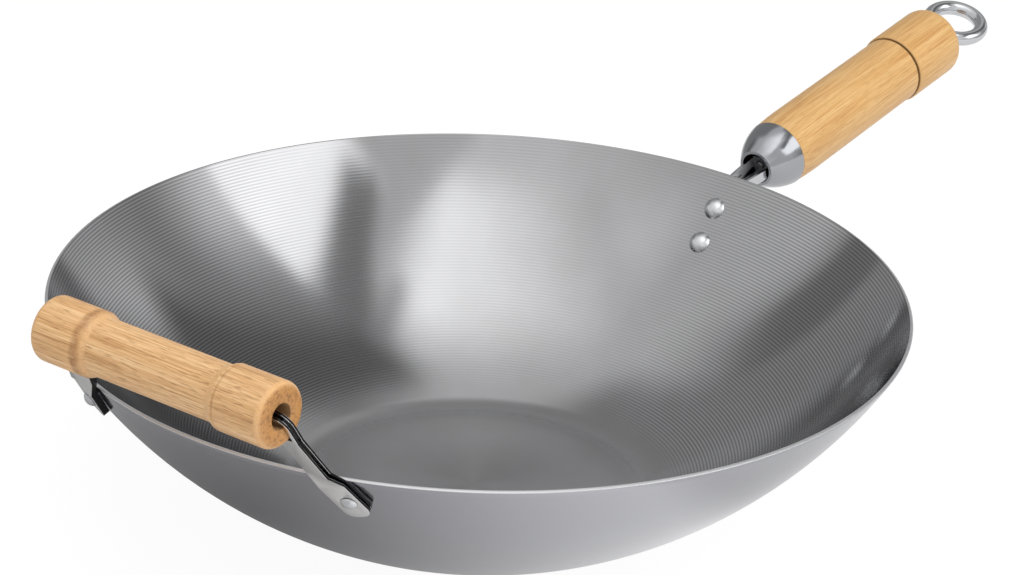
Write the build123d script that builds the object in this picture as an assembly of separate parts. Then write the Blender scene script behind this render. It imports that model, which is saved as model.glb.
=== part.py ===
from build123d import *
import math
import os

# Carbon steel wok with a long wooden handle and a wooden helper handle.
# Millimetres. The origin is the centre of the underside of the base, +Z is up,
# +X points along the long handle and the helper handle is on the -X side.

# Bowl: spun sheet with a flat base and a wall that is one arc up to the rim.
# The radius and the height are those of the rim's outer edge.
rim_radius = 177.8
bowl_height = 88.0
bowl_sheet = 1.6
base_radius = 70.0
base_blend_radius = 28.0
wall_arc_radius = 211.7
rim_corner_round = 0.35

# Seats, fits and cuts shared by the pieces
seat_gap = 0.15
shank_clearance = 0.15
cut_overrun = 2.0
joined_within = 1e-6

# Long handle: its axis leaves the wall under the rim and rises outwards
handle_rise_angle = 8.95
handle_axis_drop = 6.5

# Tang: pressed sheet, plate on the wall and a channel that grows towards the grip
tang_sheet = 1.3
tang_width = 13.9
tang_below_axis = 6.3
tang_above_axis = 1.3
tang_corner_radius = 3.5
tang_inside_ferrule = 8.0
tang_wall_reach = 10.0
tang_wall_width = 6.6
tang_wall_below_axis = 1.6
tang_wall_above_axis = 1.6
tang_wall_corner_radius = 1.5
tang_plate_neck_radius = 7.5
tang_plate_end_radius = 11.0

# Handle rivets, one above the other in the plane of the handle
handle_rivet_drops = (13.9, 27.1)
handle_rivet_shank_radius = 2.5
handle_rivet_head_radius = 4.9
handle_rivet_head_height = 2.6
handle_rivet_tail_radius = 3.4
handle_rivet_tail_height = 1.6

# Ferrule: domed sheet cup, its mouth towards the bowl
ferrule_mouth_distance = 21.1
ferrule_length = 15.8
ferrule_radius = 15.4
ferrule_front_radius = 8.4
ferrule_dome_radius = 34.0
ferrule_sheet = 1.0

# Long grip: turned wood with a nose in the ferrule and a raised end part behind a groove
grip_length = 131.2
grip_front_radius = 15.2
grip_front_bevel = 0.5
grip_lead_length = 14.0
grip_lead_bulge = 0.1
grip_swell_radius = 15.8
grip_waist_radius = 15.5
grip_cap_length = 36.9
grip_cap_radius = 16.4
grip_cap_bevel = 0.7
grip_groove_width = 1.0
grip_groove_depth = 0.6
grip_end_round = 6.5
nose_fit = 0.25
rod_hole_clearance = 0.5

# Tie rod and its nut
rod_radius = 2.0
rod_past_nut = 1.2
rod_end_bevel = 0.5
rod_end_space = 1.0
thread_fit = 0.05
nut_across_flats = 8.0
nut_height = 3.2

# Hanging loop: cast eye on a collar, with a threaded shank in the end of the grip
loop_ring_radius = 12.3
loop_wire_radius = 3.35
loop_centre_past_grip = 17.5
loop_turn_angle = 14.0
loop_collar_radius = 6.5
loop_collar_height = 1.4
loop_neck_radius = 4.2
loop_shank_radius = 4.8
loop_shank_length = 12.0
loop_thread_depth = 11.0
loop_hole_clearance = 0.3

# Helper grip: turned wooden roller on the bar of the bracket
helper_axis_out = 13.2
helper_axis_above_rim = 32.8
helper_half_length = 57.8
helper_boss_radius = 13.3
helper_boss_length = 24.0
helper_bevel_length = 3.6
helper_waist_radius = 11.5
helper_end_round = 3.0
helper_line_inset = 0.8
helper_line_width = 0.9
helper_line_depth = 0.4
helper_bore_radius = 5.0
helper_mouth_bevel = 0.6

# Helper bracket: one folded strip, a channel that is open on its outer edge
bracket_plane_angle = 56.5
bracket_sheet = 1.0
bracket_channel = 3.6
bar_depth = 2.6
bar_offset = 0.5
bar_bend_radius = 0.9
bar_outer_bend_radius = 6.0
grip_end_play = 0.3
boss_clearance = 0.6
arm_neck_depth = 1.9
arm_neck_widening = 0.2
arm_flare_length = 1.2
arm_inset = 8.5
arm_depth = 10.7
arm_length = 34.5
arm_foot_splay = 4.7
arm_foot_depth = 11.0
arm_foot_channel = 3.4
pad_slit = 1.0
pad_neck_width = 11.4
pad_neck_shift = 0.9
pad_width = 11.4
pad_above_rivet = 11.0
pad_below_rivet = 9.8
pad_end_round = 4.6
pad_lean_angle = 23.0

# Helper rivets, one through each pad
helper_rivet_spread_angle = 22.3
helper_rivet_drop = 9.3
helper_rivet_shank_radius = 2.2
helper_rivet_head_radius = 4.0
helper_rivet_head_height = 1.9
helper_rivet_tail_radius = 3.4
helper_rivet_tail_height = 1.9


# Shapes shared by several pieces

def arc(centre, radius, start_angle, end_angle):
    """Arc about a centre, from one direction to another, in degrees."""
    def point(angle):
        turn = math.radians(angle)
        return centre[0] + radius * math.cos(turn), centre[1] + radius * math.sin(turn)
    middle = (start_angle + end_angle) / 2
    return Edge.make_three_point_arc(point(start_angle), point(middle), point(end_angle))


def closed_face(path):
    """Face inside a path of points and edges, joined by straight lines."""
    edges = [item for item in path if isinstance(item, Edge)]
    ends = [(item @ 0, item @ 1) if isinstance(item, Edge) else (Vector(*item),) * 2
            for item in path]
    for here, there in zip(ends, ends[1:] + ends[:1]):
        if (there[0] - here[1]).length > joined_within:
            edges.append(Edge.make_line(here[1], there[0]))
    return Face(Wire(edges))


def turned(path, frame=Plane.XY):
    """Solid of revolution about Z of a frame, from a path in (radius, height)."""
    return frame.location * revolve(Plane.XZ * closed_face(path), Axis.Z)


def circle_crossing(first, first_radius, second, second_radius):
    """Crossing of two circles that lies to the left of the line between centres."""
    dx = second[0] - first[0]
    dy = second[1] - first[1]
    distance = math.hypot(dx, dy)
    along = (first_radius ** 2 - second_radius ** 2 + distance ** 2) / (2 * distance)
    across = math.sqrt(first_radius ** 2 - along ** 2)
    return (first[0] + (along * dx - across * dy) / distance,
            first[1] + (along * dy + across * dx) / distance)


def rivet(frame, length, shank_radius, head_radius, head_height, tail_radius, tail_height):
    """Rivet along -Z of a frame, with its domed head above the frame's origin."""
    def dome(radius, height):
        ball = (radius ** 2 + height ** 2) / (2 * height)
        return ball, math.degrees(math.asin(radius / ball))
    head_ball, head_angle = dome(head_radius, head_height)
    tail_ball, tail_angle = dome(tail_radius, tail_height)
    head = arc((0, head_height - head_ball), head_ball, 90, 90 - head_angle)
    tail = arc((0, tail_ball - tail_height - length), tail_ball, tail_angle - 90, -90)
    return turned([head, (shank_radius, 0), (shank_radius, -length), tail], frame)


# Geometry of the wall

wall_centre = circle_crossing(
    (base_radius, base_blend_radius), wall_arc_radius - base_blend_radius,
    (rim_radius, bowl_height), wall_arc_radius)


def wall_slope(drop):
    """Slope of the outer wall from level, in degrees, at a drop below the rim."""
    return math.degrees(math.acos((wall_centre[1] - bowl_height + drop) / wall_arc_radius))


def wall_plane(drop, azimuth, lean=0):
    """Plane on the outer wall: Z is the outward normal and Y runs down the wall.

    The azimuth is measured from +X, and the lean turns Y towards X.
    """
    slope = math.radians(wall_slope(drop))
    turn = math.radians(azimuth)
    radial = Vector(math.cos(turn), math.sin(turn), 0)
    up = Vector(0, 0, 1)
    normal = radial * math.sin(slope) - up * math.cos(slope)
    down = radial * -math.cos(slope) - up * math.sin(slope)
    across = down.cross(normal)
    down = down * math.cos(math.radians(lean)) + across * math.sin(math.radians(lean))
    reach = wall_centre[0] + wall_arc_radius * math.sin(slope)
    origin = radial * reach + up * (bowl_height - drop)
    return Plane(origin=origin, x_dir=down.cross(normal), z_dir=normal)


def wall_path(inset):
    """Edges of the bowl from the axis to the rim, set in from the outer face."""
    blend_end = math.degrees(math.asin(
        (base_radius - wall_centre[0]) / (wall_arc_radius - base_blend_radius)))
    return [
        Edge.make_line((0, inset), (base_radius, inset)),
        arc((base_radius, base_blend_radius), base_blend_radius - inset, -90, blend_end - 90),
        arc(wall_centre, wall_arc_radius - inset, blend_end - 90, wall_slope(0) - 90)]


def bowl_envelope(growth):
    """Solid out to the outer face of the bowl, grown by a clearance."""
    path = wall_path(-growth)
    top = path[-1] @ 1
    return turned([*path, (top.X, top.Y + cut_overrun), (0, top.Y + cut_overrun)])


def rivet_hole(frame, shank_radius):
    """Hole for a rivet through the wall and what lies on it."""
    reach = 2 * (bowl_sheet + bracket_channel + cut_overrun)
    return frame.location * Cylinder(shank_radius + shank_clearance, reach)


def helper_pad_plane(side, lean=0):
    """Plane on the wall at a helper rivet, on the +Y side for 1 and the -Y side for -1."""
    return wall_plane(helper_rivet_drop, 180 - side * helper_rivet_spread_angle, lean)


# Frames of the two handles

# Long handle: X across, Y up, Z outwards along its axis
handle_rise = math.radians(handle_rise_angle)
handle_frame = Plane(
    origin=(rim_radius, 0, bowl_height - handle_axis_drop),
    x_dir=(0, 1, 0),
    z_dir=(math.cos(handle_rise), 0, math.sin(handle_rise)))
grip_front = ferrule_mouth_distance + ferrule_length
grip_end = grip_front + grip_length
tang_end = ferrule_mouth_distance + tang_inside_ferrule

# Helper bracket: X along the grip, Y down the arms, Z outwards
bracket_tilt = math.radians(bracket_plane_angle)
helper_centre = (-(rim_radius + helper_axis_out), 0, bowl_height + helper_axis_above_rim)
bracket_frame = Plane(
    origin=helper_centre,
    x_dir=(0, 1, 0),
    z_dir=(-math.sin(bracket_tilt), 0, -math.cos(bracket_tilt)))
helper_axis_frame = Plane(origin=helper_centre, x_dir=(1, 0, 0), z_dir=(0, 1, 0))


# Bowl

def make_bowl():
    """Spun bowl with its rivet holes."""
    outer = wall_path(0)
    inner = wall_path(bowl_sheet)
    face = Face(Wire([
        *outer, *inner,
        Edge.make_line(outer[-1] @ 1, inner[-1] @ 1),
        Edge.make_line(outer[0] @ 0, inner[0] @ 0)]))
    corners = [
        vertex for vertex in face.vertices()
        if min((vertex.center() - path[-1] @ 1).length for path in (outer, inner)) < joined_within]
    bowl = revolve(Plane.XZ * fillet(corners, rim_corner_round), Axis.Z)
    for drop in handle_rivet_drops:
        bowl -= rivet_hole(wall_plane(drop, 0), handle_rivet_shank_radius)
    for side in (-1, 1):
        bowl -= rivet_hole(helper_pad_plane(side), helper_rivet_shank_radius)
    return bowl


# Long handle

def make_tang_plate():
    """Plate that follows the wall, round below and narrow under the channel."""
    upper, lower = handle_rivet_drops
    frame = wall_plane(upper, 0)
    spacing = (wall_plane(lower, 0).origin - frame.origin).length
    outline = make_hull([
        *Circle(tang_plate_neck_radius).edges(),
        *(Pos(0, spacing) * Circle(tang_plate_end_radius)).edges()])
    outline += Rectangle(tang_wall_width, 2 * tang_plate_end_radius)
    plate = frame.location * extrude(outline, tang_plate_end_radius, both=True)
    plate &= bowl_envelope(seat_gap + tang_sheet)
    plate -= bowl_envelope(seat_gap)
    above_web = Pos(0, tang_sheet - tang_wall_below_axis) * Box(
        rim_radius, rim_radius, rim_radius, align=(Align.CENTER, Align.MIN, Align.CENTER))
    return plate - handle_frame.location * above_web


def tang_section(distance, width, below, above, corner):
    """Section of the channel: flat above and rounded at its lower corners."""
    height = below + above
    section = Pos(0, -below) * Rectangle(width, height, align=(Align.CENTER, Align.MIN))
    section = fillet(section.vertices().group_by(Axis.Y)[0], corner)
    return handle_frame.location * Pos(0, 0, distance) * section


def make_handle_tang():
    """Pressed tang: plate on the wall, channel along the axis, end wall for the rod."""
    outer = loft([
        tang_section(-tang_wall_reach, tang_wall_width,
                     tang_wall_below_axis, tang_wall_above_axis, tang_wall_corner_radius),
        tang_section(tang_end, tang_width,
                     tang_below_axis, tang_above_axis, tang_corner_radius)], ruled=True)
    hollow = loft([
        tang_section(-tang_wall_reach, tang_wall_width - 2 * tang_sheet,
                     tang_wall_below_axis - tang_sheet, tang_wall_above_axis + cut_overrun,
                     tang_wall_corner_radius - tang_sheet),
        tang_section(tang_end - tang_sheet, tang_width - 2 * tang_sheet,
                     tang_below_axis - tang_sheet, tang_above_axis + cut_overrun,
                     tang_corner_radius - tang_sheet)], ruled=True)
    rod_hole = handle_frame.location * Pos(0, 0, tang_end) * Cylinder(
        rod_radius + shank_clearance, 2 * (tang_sheet + cut_overrun))
    tang = outer - hollow - rod_hole - bowl_envelope(seat_gap) + make_tang_plate()
    for drop in handle_rivet_drops:
        tang -= rivet_hole(wall_plane(drop, 0), handle_rivet_shank_radius)
    return tang


def make_handle_rivets():
    """Two rivets through the wall and the plate of the tang."""
    length = bowl_sheet + tang_sheet + 3 * seat_gap
    rivets = []
    for drop in handle_rivet_drops:
        wall = wall_plane(drop, 0).offset(-bowl_sheet - seat_gap)
        inward = Plane(origin=wall.origin, x_dir=wall.x_dir, z_dir=-wall.z_dir)
        rivets.append(rivet(
            inward, length, handle_rivet_shank_radius,
            handle_rivet_head_radius, handle_rivet_head_height,
            handle_rivet_tail_radius, handle_rivet_tail_height))
    return Compound(rivets)


dome_centre = circle_crossing(
    (ferrule_front_radius, ferrule_mouth_distance), ferrule_dome_radius,
    (ferrule_radius, grip_front), ferrule_dome_radius)


def dome_arc(inset, front, back):
    """Arc of the dome between two distances along the handle, set in from its outside."""
    ball = ferrule_dome_radius - inset
    return arc(dome_centre, ball,
               math.degrees(math.asin((front - dome_centre[1]) / ball)),
               math.degrees(math.asin((back - dome_centre[1]) / ball)))


def make_ferrule():
    """Domed cup with a round mouth for the tang."""
    return turned([
        dome_arc(0, ferrule_mouth_distance, grip_front),
        dome_arc(ferrule_sheet, grip_front, ferrule_mouth_distance)], handle_frame)


def make_long_grip():
    """Turned grip with a nose inside the ferrule and a stepped hole for rod and loop."""
    rod_hole = rod_radius + rod_hole_clearance
    shank_hole = loop_shank_radius + loop_hole_clearance
    shank_floor = grip_end - loop_shank_length - seat_gap
    nose_front = tang_end + seat_gap
    front = grip_front + seat_gap
    cap_front = grip_end - grip_cap_length
    groove_front = cap_front - grip_groove_width
    lead_middle = (grip_front_radius + grip_swell_radius) / 2 + grip_lead_bulge
    lead = Edge.make_three_point_arc(
        (grip_front_radius, front + grip_front_bevel),
        (lead_middle, front + grip_lead_length / 2),
        (grip_swell_radius, front + grip_lead_length))
    end_round = arc(
        (grip_cap_radius - grip_end_round, grip_end - grip_end_round), grip_end_round, 0, 90)
    return turned([
        (rod_hole, nose_front),
        dome_arc(ferrule_sheet + nose_fit, nose_front, front),
        (grip_front_radius - grip_front_bevel, front),
        lead,
        (grip_waist_radius, groove_front),
        (grip_waist_radius - grip_groove_depth, groove_front),
        (grip_waist_radius - grip_groove_depth, cap_front),
        (grip_cap_radius - grip_cap_bevel, cap_front),
        (grip_cap_radius, cap_front + grip_cap_bevel),
        end_round,
        (shank_hole, grip_end),
        (shank_hole, shank_floor),
        (rod_hole, shank_floor)], handle_frame)


nut_face = tang_end - tang_sheet - seat_gap


def make_tie_rod():
    """Rod from the nut in the tang to the shank of the hanging loop."""
    start = nut_face - nut_height - rod_past_nut
    end = grip_end - loop_shank_length + loop_thread_depth - rod_end_space
    return turned([
        (0, start),
        (rod_radius - rod_end_bevel, start),
        (rod_radius, start + rod_end_bevel),
        (rod_radius, end - rod_end_bevel),
        (rod_radius - rod_end_bevel, end),
        (0, end)], handle_frame)


def make_tang_nut():
    """Hex nut whose lower flat lies over the floor of the tang, so that it cannot turn."""
    hexagon = RegularPolygon(nut_across_flats / 2, 6, major_radius=False)
    bore = Circle(rod_radius + thread_fit)
    nut = extrude(hexagon - bore, -nut_height)
    return handle_frame.location * Pos(0, 0, nut_face) * nut


def make_hanging_loop():
    """Cast eye with its collar and its threaded shank."""
    seat = grip_end + seat_gap
    centre = grip_end + loop_centre_past_grip
    shank_end = grip_end - loop_shank_length
    stem = turned([
        (0, shank_end),
        (loop_shank_radius, shank_end),
        (loop_shank_radius, seat),
        (loop_collar_radius, seat),
        (loop_collar_radius, seat + loop_collar_height),
        (loop_neck_radius, seat + loop_collar_height),
        (loop_neck_radius, centre - loop_ring_radius),
        (0, centre - loop_ring_radius)])
    ring = Pos(0, 0, centre) * Rot(90, 0, 0) * Torus(loop_ring_radius, loop_wire_radius)
    thread = Pos(0, 0, shank_end - cut_overrun) * Cylinder(
        rod_radius + thread_fit, loop_thread_depth + cut_overrun,
        align=(Align.CENTER, Align.CENTER, Align.MIN))
    return handle_frame.location * Rot(0, 0, loop_turn_angle) * (stem + ring - thread)


# Helper handle

def make_helper_grip():
    """Turned roller with raised ends, scribed lines and a through bore."""
    boss_start = helper_half_length - helper_boss_length
    line_start = boss_start + helper_line_inset
    end_round = arc(
        (helper_boss_radius - helper_end_round, helper_half_length - helper_end_round),
        helper_end_round, 0, 90)
    half = turned([
        (helper_bore_radius, 0),
        (helper_waist_radius, 0),
        (helper_waist_radius, boss_start - helper_bevel_length),
        (helper_boss_radius, boss_start),
        (helper_boss_radius, line_start),
        (helper_boss_radius - helper_line_depth, line_start + helper_line_width / 2),
        (helper_boss_radius, line_start + helper_line_width),
        end_round,
        (helper_bore_radius + helper_mouth_bevel, helper_half_length),
        (helper_bore_radius, helper_half_length - helper_mouth_bevel)], helper_axis_frame)
    return half + mirror(half, about=Plane.XZ)


neck_inner = helper_half_length + grip_end_play
neck_outer = neck_inner + arm_neck_depth
neck_start = bar_offset + bar_outer_bend_radius


def bar_face(inner_inset, outer_growth):
    """Face of the bar and its two end bends, in the plane of the bracket."""
    inner_x = neck_inner - bar_bend_radius
    inner_y = bar_offset + bar_depth + bar_bend_radius
    inner_radius = bar_bend_radius + inner_inset
    outer_x = neck_outer - bar_outer_bend_radius
    outer_radius = bar_outer_bend_radius + outer_growth
    return closed_face([
        arc((-outer_x, neck_start), outer_radius, 180, 270),
        arc((outer_x, neck_start), outer_radius, -90, 0),
        (neck_inner + inner_inset, neck_start),
        arc((inner_x, inner_y), inner_radius, 0, -90),
        arc((-inner_x, inner_y), inner_radius, 270, 180),
        (-neck_inner - inner_inset, neck_start)])


def arm_stations():
    """Places along the +Y arm: frame, inner edge, outer edge and channel width."""
    boss_edge = helper_boss_radius + boss_clearance
    top_inner = helper_half_length - arm_inset
    foot_inner = top_inner + arm_foot_splay
    pad_thickness = 2 * bracket_sheet + pad_slit
    pad = helper_pad_plane(1, pad_lean_angle).offset(seat_gap + pad_thickness / 2)

    def along_bracket(distance):
        return Plane(
            origin=bracket_frame.from_local_coords((0, distance, 0)),
            x_dir=bracket_frame.x_dir, z_dir=bracket_frame.y_dir)

    def along_pad(distance):
        return Plane(
            origin=pad.from_local_coords((0, distance, 0)), x_dir=pad.x_dir, z_dir=pad.y_dir)

    return [
        (along_bracket(neck_start), neck_inner, neck_outer, bracket_channel),
        (along_bracket(boss_edge), neck_inner, neck_outer + arm_neck_widening, bracket_channel),
        (along_bracket(boss_edge + arm_flare_length),
         top_inner, top_inner + arm_depth, bracket_channel),
        (along_bracket(arm_length), foot_inner, foot_inner + arm_foot_depth, arm_foot_channel),
        (along_pad(-pad_above_rivet), -pad_neck_width / 2 - pad_neck_shift,
         pad_neck_width / 2 - pad_neck_shift, pad_thickness),
        (along_pad(pad_below_rivet), -pad_width / 2, pad_width / 2, pad_thickness)]


def strip_loft(stations, inner_inset=0, outer_growth=0, side_inset=0):
    """Loft through the stations of the arm, set in from its faces."""
    sections = []
    for frame, inner, outer, channel in stations:
        start = inner + inner_inset
        end = outer + outer_growth
        section = Pos((start + end) / 2, 0) * Rectangle(end - start, channel - 2 * side_inset)
        sections.append(frame.location * section)
    return loft(sections, ruled=True)


def make_helper_bracket():
    """Folded strip: bar, two channel arms and two flattened pads."""
    stations = arm_stations()
    arm = strip_loft(stations)
    end_frame = stations[-1][0]
    end_edges = [
        edge for edge in arm.edges().filter_by(Axis(end_frame.origin, end_frame.y_dir))
        if abs(end_frame.to_local_coords(edge.center()).Z) < joined_within]
    arm = fillet(end_edges, pad_end_round)
    end_frame = end_frame.offset(cut_overrun)
    slot_stations = [*stations[:-1], (end_frame, *stations[-1][1:])]
    slot = strip_loft(slot_stations, bracket_sheet, cut_overrun, bracket_sheet)
    arm -= slot
    arm -= bowl_envelope(seat_gap)
    arm -= rivet_hole(helper_pad_plane(1), helper_rivet_shank_radius)
    bar = extrude(
        bracket_frame.location * bar_face(0, 0),
        bracket_channel / 2, dir=bracket_frame.z_dir, both=True)
    groove = extrude(
        bracket_frame.location * bar_face(bracket_sheet, cut_overrun),
        bracket_channel / 2 - bracket_sheet, dir=bracket_frame.z_dir, both=True)
    return bar - groove + arm + mirror(arm, about=Plane.XZ)


def make_helper_rivets():
    """Two rivets, one through each pad."""
    length = bowl_sheet + 2 * bracket_sheet + pad_slit + 3 * seat_gap
    rivets = []
    for side in (-1, 1):
        wall = helper_pad_plane(side).offset(-bowl_sheet - seat_gap)
        inward = Plane(origin=wall.origin, x_dir=wall.x_dir, z_dir=-wall.z_dir)
        rivets.append(rivet(
            inward, length, helper_rivet_shank_radius,
            helper_rivet_head_radius, helper_rivet_head_height,
            helper_rivet_tail_radius, helper_rivet_tail_height))
    return Compound(rivets)


# Write one file for each piece

os.makedirs("parts", exist_ok=True)
for name, make in (
        ("bowl", make_bowl),
        ("handle_tang", make_handle_tang),
        ("handle_rivets", make_handle_rivets),
        ("ferrule", make_ferrule),
        ("long_grip", make_long_grip),
        ("tie_rod", make_tie_rod),
        ("tang_nut", make_tang_nut),
        ("hanging_loop", make_hanging_loop),
        ("helper_grip", make_helper_grip),
        ("helper_bracket", make_helper_bracket),
        ("helper_rivets", make_helper_rivets)):
    export_step(make(), f"parts/{name}.step")
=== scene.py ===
"""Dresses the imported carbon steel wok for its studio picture."""

import logging
import math
from collections.abc import Callable
from dataclasses import dataclass, field
from enum import Enum
from functools import partial

import bpy
from mathutils import Euler, Matrix, Vector
from mathutils.bvhtree import BVHTree


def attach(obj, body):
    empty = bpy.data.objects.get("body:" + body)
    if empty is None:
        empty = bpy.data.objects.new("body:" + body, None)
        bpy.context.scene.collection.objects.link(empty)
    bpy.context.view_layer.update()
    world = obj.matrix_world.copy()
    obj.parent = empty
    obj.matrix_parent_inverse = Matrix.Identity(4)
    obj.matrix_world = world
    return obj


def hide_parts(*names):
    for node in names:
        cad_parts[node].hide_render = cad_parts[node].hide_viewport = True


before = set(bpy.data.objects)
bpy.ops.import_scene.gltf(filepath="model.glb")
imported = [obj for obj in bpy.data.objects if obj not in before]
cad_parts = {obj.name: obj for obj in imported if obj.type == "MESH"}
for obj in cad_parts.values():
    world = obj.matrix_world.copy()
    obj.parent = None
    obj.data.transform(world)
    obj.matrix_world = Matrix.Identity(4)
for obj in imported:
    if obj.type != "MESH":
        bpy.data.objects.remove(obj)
LOG = logging.getLogger("wok")
MM = 0.001
SAME_PLACE = 2e-6
UP = Vector((0, 0, 1))

Piece = bpy.types.Object
Material = bpy.types.Material
Node = bpy.types.Node
Socket = bpy.types.NodeSocket
AddNode = Callable[..., Node]
Colour = tuple[float, float, float, float]
Point = tuple[float, float]
Place = tuple[float, float, float]
Outline = list[Point]


# Shared geometry

def arc_points(centre: Point, radius: float, start: float, end: float, count: int) -> Outline:
    """Points along a round part of an outline.

    Args:
        centre: Radius and distance of the arc's centre, in millimetres.
        radius: Radius of the arc.
        start: First angle in degrees, from the outward direction towards the axis direction.
        end: Last angle in degrees.
        count: Number of steps.

    Returns:
        The points as radius and distance pairs.
    """
    turns = [math.radians(start + (end - start) * step / count) for step in range(count + 1)]
    return [(centre[0] + radius * math.cos(turn), centre[1] + radius * math.sin(turn))
            for turn in turns]


def circle_crossing(first: Point, first_radius: float, second: Point,
                    second_radius: float) -> Point:
    """Place that lies at given distances from two points.

    Args:
        first: First point.
        first_radius: Distance from the first point.
        second: Second point.
        second_radius: Distance from the second point.

    Returns:
        The crossing on the inner side of the line between them.
    """
    reach = math.dist(first, second)
    along = (first_radius ** 2 - second_radius ** 2 + reach ** 2) / (2 * reach)
    away = math.sqrt(first_radius ** 2 - along ** 2)
    step = ((second[0] - first[0]) / reach, (second[1] - first[1]) / reach)
    return (first[0] + along * step[0] - away * step[1],
            first[1] + along * step[1] + away * step[0])


@dataclass(frozen=True)
class TurningAxis:
    """Axis that a turned or spun piece is made on.

    Attributes:
        origin: Start of the axis, in millimetres.
        along: Direction of the axis.
        across: Direction in which the outline is drawn.
    """

    origin: Vector
    along: Vector
    across: Vector

    def place(self, radius: float, distance: float) -> Vector:
        """Point of an outline in metres."""
        return (self.origin + self.along * distance + self.across * radius) * MM


UPRIGHT = TurningAxis(Vector((0, 0, 0)), UP, Vector((1, 0, 0)))
HANDLE_RISE = math.radians(8.95)
HANDLE_AXIS = TurningAxis(
    Vector((177.8, 0, 81.5)),
    Vector((math.cos(HANDLE_RISE), 0, math.sin(HANDLE_RISE))),
    Vector((-math.sin(HANDLE_RISE), 0, math.cos(HANDLE_RISE))))


# Modelling by hand

def pick(*pieces: Piece) -> None:
    """Leave edit mode and select some pieces and nothing else.

    Args:
        *pieces: The pieces, of which the first becomes the active one.
    """
    if bpy.context.object and bpy.context.object.mode != "OBJECT":
        bpy.ops.object.mode_set(mode="OBJECT")
    bpy.ops.object.select_all(action="DESELECT")
    for piece in pieces:
        piece.select_set(True)
    if pieces:
        bpy.context.view_layer.objects.active = pieces[0]


def turn_piece(name: str, outline: Outline, axis: TurningAxis, steps: int,
               closed: bool = False, sharp_from: float = 35) -> Piece:
    """Draw an outline point by point and spin it about its axis.

    Args:
        name: Name of the new piece.
        outline: Radius and distance pairs in millimetres.
        axis: Axis of the piece.
        steps: Number of steps round the axis.
        closed: Whether the last point joins the first one.
        sharp_from: Angle in degrees from which an edge stays sharp.

    Returns:
        The finished object, at the origin.
    """
    pick()
    points = [axis.place(*point) for point in outline]
    bpy.ops.mesh.primitive_plane_add(size=MM, location=points[0])
    piece = bpy.context.object
    piece.name = piece.data.name = name
    bpy.ops.object.transform_apply(location=True, rotation=True, scale=True)
    bpy.ops.object.mode_set(mode="EDIT")
    bpy.ops.mesh.select_mode(type="VERT")
    bpy.ops.mesh.select_all(action="SELECT")
    bpy.ops.mesh.merge(type="CENTER")
    for before, after in zip(points, points[1:]):
        bpy.ops.mesh.extrude_region_move(TRANSFORM_OT_translate={"value": after - before})
    if closed:
        bpy.ops.mesh.select_all(action="DESELECT")
        bpy.ops.object.mode_set(mode="OBJECT")
        ends = (piece.data.vertices[0], piece.data.vertices[-1])
        for vertex in piece.data.vertices:
            vertex.select = vertex in ends
        bpy.ops.object.mode_set(mode="EDIT")
        bpy.ops.mesh.edge_face_add()
    bpy.ops.mesh.select_all(action="SELECT")
    bpy.ops.mesh.spin(steps=steps, angle=math.tau, center=axis.origin * MM, axis=axis.along)
    bpy.ops.mesh.select_all(action="SELECT")
    bpy.ops.mesh.remove_doubles(threshold=SAME_PLACE)
    bpy.ops.mesh.normals_make_consistent(inside=False)
    pick(piece)
    bpy.ops.object.shade_smooth_by_angle(angle=math.radians(sharp_from))
    return piece


def copy_of_node(node: str, name: str, edge_round: float) -> Piece:
    """Copy a node of the frame and break its edges.

    Args:
        node: Name of the node.
        name: Name of the new piece.
        edge_round: Width of the broken edges in millimetres.

    Returns:
        The copy, merged into one skin and bevelled.
    """
    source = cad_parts[node]
    piece = source.copy()
    piece.data = source.data.copy()
    piece.name = piece.data.name = name
    bpy.context.collection.objects.link(piece)
    pick(piece)
    bpy.ops.mesh.customdata_custom_splitnormals_clear()
    bpy.ops.object.mode_set(mode="EDIT")
    bpy.ops.mesh.select_all(action="SELECT")
    bpy.ops.mesh.remove_doubles(threshold=SAME_PLACE)
    bpy.ops.mesh.dissolve_limited(angle_limit=math.radians(0.6))
    pick(piece)
    bevel = piece.modifiers.new("Broken edges", "BEVEL")
    bevel.width = edge_round * MM
    bevel.segments = 2
    bevel.limit_method = "ANGLE"
    bevel.angle_limit = math.radians(40)
    bevel.use_clamp_overlap = True
    bpy.ops.object.modifier_apply(modifier=bevel.name)
    bpy.ops.object.shade_smooth_by_angle(angle=math.radians(35))
    return piece


def join_pieces(pieces: list[Piece], name: str) -> Piece:
    """Join separate solids of one node into one object.

    Args:
        pieces: The solids.
        name: Name of the joined piece.

    Returns:
        The joined piece.
    """
    pick(*pieces)
    bpy.ops.object.join()
    pieces[0].name = pieces[0].data.name = name
    return pieces[0]


def dress(piece: Piece, material: Material, slot: str, body: str, *nodes: str) -> Piece:
    """Give a piece its material, its body and the nodes it stands for.

    Args:
        piece: The finished piece.
        material: Its material.
        slot: Material slot of the record, which is not used.
        body: Body that it rides on.
        *nodes: Nodes of the frame that it replaces.

    Returns:
        The piece.
    """
    piece.data.materials.clear()
    piece.data.materials.append(material)
    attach(piece, body)
    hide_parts(*nodes)
    return piece


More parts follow.
